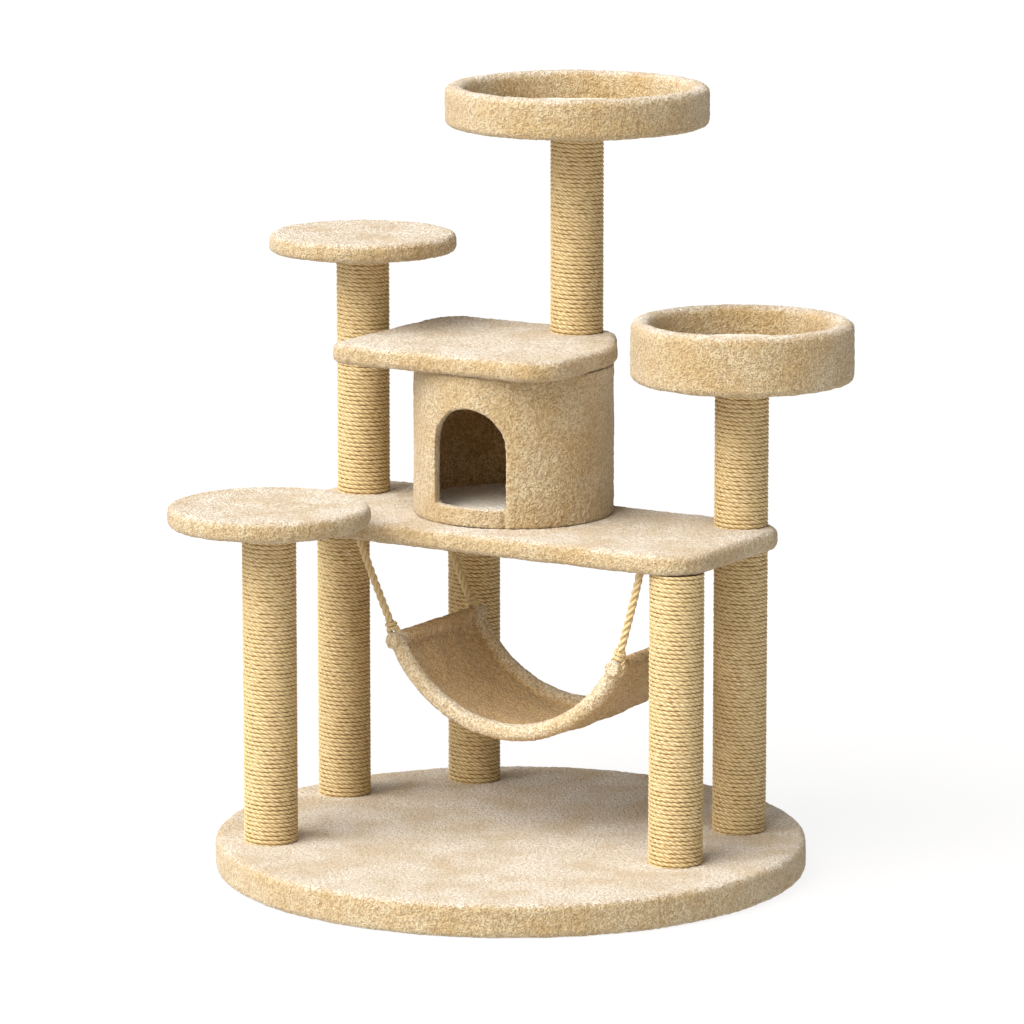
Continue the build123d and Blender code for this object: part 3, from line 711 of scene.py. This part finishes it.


# Sisal fibre is dry and straw gold, with painted shade: paler on the tops of the turns and brown
# in the creases, with fibres 0.3 mm thick along the rope, drawn at 1 mm so that they show.
sisal, tree, surface = finish_of("natural_sisal_rope", 0.8, 0.25)
spot = add_node(tree, "ShaderNodeTexCoord").outputs["Object"]
relief = add_node(tree, "ShaderNodeAttribute", attribute_name="relief").outputs["Fac"]
stretch = add_node(tree, "ShaderNodeMapping", {"Vector": spot, "Scale": (160, 160, 900)})
fibres = add_node(
    tree, "ShaderNodeTexNoise", {"Vector": stretch.outputs[0], "Scale": 1.0, "Detail": 3.0}
)
patches = add_node(tree, "ShaderNodeTexNoise", {"Vector": spot, "Scale": 25.0, "Detail": 4.0})
stray = add_node(
    tree, "ShaderNodeMapRange", {"Value": fibres.outputs[0], "From Min": 0.36, "From Max": 0.62}
)
shade = mixed(tree, stray.outputs[0], "#C6A56C", "#F0DEB2")
faded = add_node(
    tree, "ShaderNodeMapRange", {"Value": patches.outputs[0], "From Min": 0.35, "From Max": 0.7}
)
shade = mixed(tree, faded.outputs[0], shade, "#DEC694")
# painted shade: where the relief is low, in the grooves, the colour goes to dark brown #86602C
painted_groove_shade = add_node(tree, "ShaderNodeMapRange", {"Value": relief, "From Min": 0.12, "From Max": 0.8})
shade = mixed(tree, painted_groove_shade.outputs[0], "#86602C", shade)
bump = add_node(
    tree, "ShaderNodeBump", {"Strength": 0.9, "Distance": 0.0014, "Height": fibres.outputs[0]}
)
tree.links.new(shade, surface.inputs["Base Color"])
tree.links.new(bump.outputs[0], surface.inputs["Normal"])

# Wound kraft paper is dull brown, with a faint seam about every 160 mm and short fibres.
kraft, tree, surface = finish_of("wound_kraft_paper", 0.8, 0.3)
spot = add_node(tree, "ShaderNodeTexCoord").outputs["Object"]
pulp = add_node(tree, "ShaderNodeTexNoise", {"Vector": spot, "Scale": 400.0, "Detail": 5.0})
seams = add_node(
    tree, "ShaderNodeTexWave", {"Vector": spot, "Scale": 2.0, "Distortion": 0.4}, bands_direction="Z"
)
shade = mixed(tree, pulp.outputs[0], "#8D7352", "#A88C66")
edge = add_node(tree, "ShaderNodeMapRange", {"Value": seams.outputs[0], "From Max": 0.06})
shade = mixed(tree, edge.outputs[0], "#7A6143", shade)
tree.links.new(shade, surface.inputs["Base Color"])

# Turned beech is pinkish tan with short dark flecks along its grain.
beech, tree, surface = finish_of("turned_beech", 0.5, 0.4)
spot = add_node(tree, "ShaderNodeTexCoord").outputs["Object"]
stretch = add_node(tree, "ShaderNodeMapping", {"Vector": spot, "Scale": (700, 700, 60)})
grain = add_node(
    tree, "ShaderNodeTexNoise", {"Vector": stretch.outputs[0], "Scale": 1.0, "Detail": 3.0}
)
fleck = add_node(
    tree, "ShaderNodeMapRange", {"Value": grain.outputs[0], "From Min": 0.42, "From Max": 0.6}
)
shade = mixed(tree, fleck.outputs[0], "#A97C52", "#CFA578")
tree.links.new(shade, surface.inputs["Base Color"])

winding = sisal_tree()
for node in sorted(frame["nodes"]):
    if not node.endswith("_post_sisal"):
        continue
    low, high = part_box(node)
    tall = high.z - low.z
    turns = round(tall / SISAL_PITCH)
    middle = (low + high) / 2
    name = node.replace("_post_sisal", "_winding")
    wrap = add_piece(name, bpy.data.meshes.new(name))
    run_nodes(
        wrap,
        winding,
        {
            "Axis": (middle.x, middle.y, low.z),
            "Radius": (high.x - low.x) / 2,
            "Height": tall,
            "Turns": float(turns),
            "Rows": (turns + 1) * SISAL_ROWS + 1,
            "Around": SISAL_AROUND + 1,
            "Ridge": RIDGE,
            "Lump": LUMP,
            "Strand Pitch": STRAND_PITCH,
            "Material": sisal,
        },
    )
    hand_over(wrap, "sisal_rope", "tower", node)
    coat(kraft, node.replace("_sisal", "_tube"))
coat(beech, "post_plugs")
coat(zinc, "threaded_inserts", "platform_bolts", "joining_stud")

# ---- Perches, shelf and roof ------------------------------------------------------------
# Thinner boards wrapped in the same carpet on both faces, its join hidden underneath.

for name in ("low_perch", "high_perch", "shelf", "roof"):
    cover = copy_of(name + "_cover", (name + "_carpet", name + "_board"))
    even_mesh(cover, PILE_VOXEL, 2)
    run_nodes(cover, pile, pile_values)
    hand_over(cover, "carpet_plush", "tower", name + "_carpet")
    coat(chipboard, name + "_board")

# ---- House ------------------------------------------------------------------------------
# A paperboard drum between two boards. Carpet covers it outside and is turned in round the
# arched doorway; inside it has a plush lining and a carpeted floor.

HOUSE_VOXEL = 0.0028
LINING_VOXEL = 0.0036
SEAM_BEARING = -95.5  # degrees from +X: the seam runs down from the doorway's right edge
SEAM_TOP = 0.03
SEAM_WIDTH = 0.008
SEAM_DEPTH = 0.0035

lining = plush("plush_lining", "#E2C79A", "#DCBC86", "#CBA469", "#8E6530", sheen=0.2)
house_cover = copy_of("house_cover", ("house_carpet",))
even_mesh(house_cover, HOUSE_VOXEL, 3)
low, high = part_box("house_carpet")
middle = (low + high) / 2
for vert in house_cover.data.vertices:
    place = vert.co
    bearing = math.atan2(place.y - middle.y, place.x - middle.x)
    off = abs(bearing - math.radians(SEAM_BEARING)) * (high.x - low.x) / 2
    if place.z < low.z + SEAM_TOP and off < SEAM_WIDTH / 2:
        inward = Vector((middle.x - place.x, middle.y - place.y, 0)).normalized()
        vert.co = place + inward * SEAM_DEPTH * (1 - (2 * off / SEAM_WIDTH) ** 2)
run_nodes(house_cover, pile, pile_values)
hand_over(house_cover, "carpet_plush", "tower", "house_carpet")

inside = copy_of("house_inside", ("house_lining",))
even_mesh(inside, LINING_VOXEL, 1)
run_nodes(inside, pile, {**pile_values, "Material": lining})
hand_over(inside, "lining_plush", "tower", "house_lining")

mat = copy_of("house_mat", ("house_floor_carpet",))
even_mesh(mat, LINING_VOXEL, 2)
cushion_cover = plush("brushed_plush_cushion", "#FFFDF8", "#F8F2E6", "#F0E6D2", "#DCCBA8")
run_nodes(mat, pile, {**pile_values, "Material": cushion_cover})
hand_over(mat, "cushion_plush", "tower", "house_floor_carpet")

# Laminated paperboard is grey-brown, in thin layers that show at its cut edge.
board, tree, surface = finish_of("laminated_paperboard", 0.8, 0.3)
spot = add_node(tree, "ShaderNodeTexCoord").outputs["Object"]
pulp = add_node(tree, "ShaderNodeTexNoise", {"Vector": spot, "Scale": 500.0, "Detail": 4.0})
shade = mixed(tree, pulp.outputs[0], "#84704F", "#A18A66")
tree.links.new(shade, surface.inputs["Base Color"])
coat(board, "house_tube")
coat(chipboard, "house_floor", "house_ceiling")
coat(zinc, "house_screws")

# ---- Beds -------------------------------------------------------------------------------
# A board with a rim of laminated board, padded with carpet inside and out, and a loose round
# cushion of brushed plush filled with fibre.

CUSHION_VOXEL = 0.005
CUSHION_GAP = 0.004  # between a cushion and the rim before it is filled
CUSHION_SWELL = 0.006  # how far the filling may push the cloth out
THIN_SHARE = 1 / 6  # share of that swell for a cushion with no crown
RIM_GAP = 0.0015  # between a filled cushion and the rim
THIN = 0.01  # a cushion thinner than this is meshed as finely as the pile
CROWNS = {"side_bed": 0.013, "top_bed": 0.0}  # how far a pad's middle stands above its edge
PUFF_FRAMES = 20


def fill_cushion(piece, low, high, radius, crown):
    """Blows a cushion up as a cloth with pressure inside, limits how far it swells, and then
    raises its middle by the crown."""
    middle = (low + high) / 2
    cloth = piece.modifiers.new("filling", "CLOTH")
    cloth.settings.use_pressure = True
    cloth.settings.uniform_pressure_force = 4.0
    cloth.settings.effector_weights.gravity = 0.0
    cloth.settings.tension_stiffness = 15
    cloth.settings.bending_stiffness = 0.5
    cloth.point_cache.frame_start = 1
    cloth.point_cache.frame_end = PUFF_FRAMES
    before = [v.co.copy() for v in piece.data.vertices]
    for number in range(1, PUFF_FRAMES + 1):
        bpy.context.scene.frame_set(number)
    settle(piece)
    bpy.context.scene.frame_set(1)
    for vert, old in zip(piece.data.vertices, before):
        move = vert.co - old
        swell = CUSHION_SWELL if crown else CUSHION_SWELL * THIN_SHARE
        if move.length > swell:
            move *= swell / move.length
        spot = old + move
        # it rests flat on its board and against the rim
        out = Vector((spot.x - middle.x, spot.y - middle.y, 0))
        if spot.z > middle.z:
            spot.z += crown * max(0.0, 1 - out.length_squared / radius**2)
        if out.length > radius:
            out *= radius / out.length
        vert.co = Vector((middle.x + out.x, middle.y + out.y, max(spot.z, low.z)))
    piece.data.update()


for name in ("side_bed", "top_bed"):
    cover = copy_of(name + "_cover", (name + "_carpet", name + "_rim", name + "_board"))
    even_mesh(cover, PILE_VOXEL, 3)
    run_nodes(cover, pile, pile_values)
    hand_over(cover, "carpet_plush", "tower", name + "_carpet")
    coat(board, name + "_rim")
    coat(chipboard, name + "_board")

    node = name + "_cushion"
    low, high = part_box(node)
    radius = (high.x - low.x) / 2
    cushion = copy_of(name + "_pad", (node,))
    middle = (low + high) / 2
    for vert in cushion.data.vertices:
        vert.co.x = middle.x + (vert.co.x - middle.x) * (1 - CUSHION_GAP / radius)
        vert.co.y = middle.y + (vert.co.y - middle.y) * (1 - CUSHION_GAP / radius)
    even_mesh(cushion, CUSHION_VOXEL if high.z - low.z > THIN else PILE_VOXEL, 1)
    fill_cushion(cushion, low, high, radius - RIM_GAP, CROWNS[name])
    finer = cushion.modifiers.new("finer", "SUBSURF")
    finer.levels = finer.render_levels = 1
    settle(cushion)
    run_nodes(cushion, pile, {**pile_values, "Material": cushion_cover})
    hand_over(cushion, "cushion_plush", "tower", node)

# ---- Hammock ----------------------------------------------------------------------------
# A doubled plush cloth with padded hems along its sides, hung by sleeves over two beech
# rods. A loop of rope goes round each corner and is bound above it with two turns.

CLOTH = 0.008
BELLY = 0.006  # how far the cloth sags between its side hems
SEWN_LOW = 0.0055  # how far under the middle of a hem the cloth joins it
SLEEVE = 0.0125  # radius of the sleeves over the rods
HEM = 0.013  # radius of the padded side hems
HEM_PAINTED_LIGHT_LOW = -0.5  # lowest normal height of the hem faces that get the paler plush: painted light on the hems' upper faces
HAMMOCK_VOXEL = 0.0026
LOOP_REACH = 0.0105  # from a rod's middle to the middle of the rope round it
WHIPPING = 0.0066  # radius of the turns that bind a loop under its rope
KNOT_RISE = 0.0243  # from a rod's middle up to the end of its rope
STATIONS = 120  # faces along the cloth
WIDTHS = 40  # faces across it
FOLD = 0.0022  # height of the cloth's loose folds
PULL = 0.0018  # height of the pleats where the ends pull it flat
HEM_SHARE = 0.985  # share of the cloth's length that the side hems cover
BINDING_DROPS = (0.002, 0.0085)  # how far under a rope's end its two binding turns lie
BINDING_SLANT = 0.0016
BINDING_OUT = 1.04  # a smooth line runs inside its points, so they stand this much further out

along = Vector(joints["hammock_swing"]["axis"]).normalized()
across = Vector((-along.y, along.x, 0))
corners = {}
for corner, (tie, lean) in ties.items():
    run = Vector((lean.x, lean.y, 0)).dot(along) / lean.z
    corners[corner] = tie - Vector((0, 0, KNOT_RISE)) - along * (run * KNOT_RISE)
left, right = corners["front_left"], corners["front_right"]
half_span = (right - left).dot(along) / 2
cloth_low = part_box("hammock_cloth")[0].z + HEM
sag = left.z - cloth_low
arc_radius = (half_span**2 + sag**2) / (2 * sag)
half_sweep = math.asin(half_span / arc_radius)
front, back = left.dot(across), corners["back_left"].dot(across)
middle_along = left.dot(along) + half_span
centre_level = left.z + arc_radius * math.cos(half_sweep)


def on_hammock(angle, side, lift=0.0):
    """A point of the hanging arc, by its angle, its place across, and its height off the cloth."""
    reach = arc_radius - lift
    return (
        along * (middle_along + reach * math.sin(angle))
        + across * side
        + Vector((0, 0, centre_level - reach * math.cos(angle)))
    )


def add_tube(mesh, line, radius, sides=20):
    """Adds a closed tube round a line, shut by a flat face at each end; radius is a function of the
    place.
    """
    way = (line[1] - line[0]).normalized()
    side = across if abs(way.dot(across)) < 0.9 else along
    rings = []
    count = len(line)
    for i, place in enumerate(line):
        way = (line[min(i + 1, count - 1)] - line[max(i - 1, 0)]).normalized()
        side = (side - way * side.dot(way)).normalized()
        other = way.cross(side)
        size = radius(place, i / (count - 1))
        rings.append(add_ring(mesh, place, side, other, size, sides))
    for ring, following in zip(rings, rings[1:]):
        for j in range(sides):
            after = (j + 1) % sides
            mesh.faces.new((ring[j], ring[after], following[after], following[j]))
    mesh.faces.new(reversed(rings[0]))
    mesh.faces.new(rings[-1])


def hem_radius(place, share):
    """A padded hem: full, a little uneven, gathered in towards its ends."""
    ends = min(1.0, 0.86 + 0.14 * min(share, 1 - share) / 0.06)
    return HEM * ends * (0.97 + 0.05 * noise.noise(place * 45))


def sleeve_radius(place, share):
    return SLEEVE * (0.97 + 0.06 * noise.noise(place * 60))


mesh = bmesh.new()
angles = [half_sweep * (2 * i / STATIONS - 1) for i in range(STATIONS + 1)]
layers = []
for lift in (CLOTH / 2, -CLOTH / 2):
    rows = []
    for angle in angles:
        row = []
        for j in range(WIDTHS + 1):
            share = j / WIDTHS
            side = front + (back - front) * share
            ends = math.cos(angle / half_sweep * math.pi / 2)
            sink = SEWN_LOW + BELLY * math.sin(math.pi * share) * ends
            fold = FOLD * noise.noise(Vector((angle * 3.0, share * 9.0, 1.7))) * (0.4 + ends)
            pull = PULL * (1 - ends) * math.sin(math.tau * share * 4 + angle * 2)
            row.append(mesh.verts.new(on_hammock(angle, side, lift - sink + fold + pull)))
        rows.append(row)
    layers.append(rows)
upper, lower = layers
for i in range(STATIONS):
    for j in range(WIDTHS):
        mesh.faces.new((upper[i][j], upper[i + 1][j], upper[i + 1][j + 1], upper[i][j + 1]))
        mesh.faces.new((lower[i][j], lower[i][j + 1], lower[i + 1][j + 1], lower[i + 1][j]))
for i in range(STATIONS):
    mesh.faces.new((upper[i][0], lower[i][0], lower[i + 1][0], upper[i + 1][0]))
    mesh.faces.new((upper[i][-1], upper[i + 1][-1], lower[i + 1][-1], lower[i][-1]))
for j in range(WIDTHS):
    mesh.faces.new((upper[0][j], upper[0][j + 1], lower[0][j + 1], lower[0][j]))
    mesh.faces.new((upper[-1][j], lower[-1][j], lower[-1][j + 1], upper[-1][j + 1]))
for side in (front, back):
    add_tube(mesh, [on_hammock(angle * HEM_SHARE, side) for angle in angles], hem_radius)
overlap = HEM + CLOTH / 3
reach = [front - overlap + (back - front + 2 * overlap) * i / 60 for i in range(61)]
for angle in (-half_sweep, half_sweep):
    add_tube(mesh, [on_hammock(angle, side) for side in reach], sleeve_radius)
bmesh.ops.recalc_face_normals(mesh, faces=mesh.faces)
cloth = add_piece("hammock_lap", bpy.data.meshes.new("hammock_lap"))
mesh.to_mesh(cloth.data)
mesh.free()
even_mesh(cloth, HAMMOCK_VOXEL, 1)
hammock_plush = plush("brushed_plush_cloth", "#E4BF86", "#E8CCA0", "#DFC08E", "#9E7943", sheen=0.3)
# this paler plush is painted light, for the hems' upper faces
hem_painted_light_plush = plush("brushed_plush_hem_painted_light", "#F2E8D4", "#ECDDBF", "#E2CFA8", "#A5814C")
run_nodes(cloth, pile, {**pile_values, "Material": hammock_plush, "Swell Height": 0.0008})
# painted light: the hems' upper faces get a paler plush and their undersides keep the cloth's darker
# plush, as if in shade
cloth.data.materials.append(hem_painted_light_plush)
for face in cloth.data.polygons:
    place = face.center.dot(across)
    on_hem = place < front + HEM or place > back - HEM
    if on_hem and face.normal.z > HEM_PAINTED_LIGHT_LOW:
        face.material_index = 1
hand_over(cloth, "hammock_plush", "hammock", "hammock_cloth")
coat(beech, "hammock_rods")

mesh = bmesh.new()
for corner, middle in corners.items():
    tie, lean = ties[corner]
    rise = tie - middle
    # a pear shape: round under the rod, and narrow where it meets its rope
    ring = [
        middle + rise,
        middle + rise * 0.78 + along * 0.0046 + across * 0.0016,
        middle + rise * 0.42 + along * LOOP_REACH * 0.62 + across * 0.002,
        middle + along * LOOP_REACH * 0.9 - Vector((0, 0, LOOP_REACH * 0.6)),
        middle - Vector((0, 0, LOOP_REACH * 1.2)),
        middle - along * LOOP_REACH * 0.9 - Vector((0, 0, LOOP_REACH * 0.6)),
        middle + rise * 0.42 - along * LOOP_REACH * 0.62 - across * 0.002,
        middle + rise * 0.78 - along * 0.0046 - across * 0.0016,
    ]
    lay_strands(mesh, smooth_line(ring, closed=True), ROPE * 0.8, closed=True)
    # two turns bind it under the rope
    out = lean.orthogonal().normalized()
    cross = lean.cross(out)
    for drop in BINDING_DROPS:
        binding = [
            tie
            - lean * (drop - BINDING_SLANT * math.sin(turn))
            + (out * math.cos(turn) + cross * math.sin(turn)) * WHIPPING * BINDING_OUT
            for turn in (math.tau * i / 10 for i in range(10))
        ]
        lay_strands(mesh, smooth_line(binding, closed=True), ROPE * 0.5, closed=True)
data = bpy.data.meshes.new("corner_loops")
mesh.to_mesh(data)
mesh.free()
data.materials.append(jute)
loops = add_piece("corner_loops", data)
hand_over(loops, "twisted_rope", "hammock", "rope_loops")
coat(jute, "rope_stop_knots")
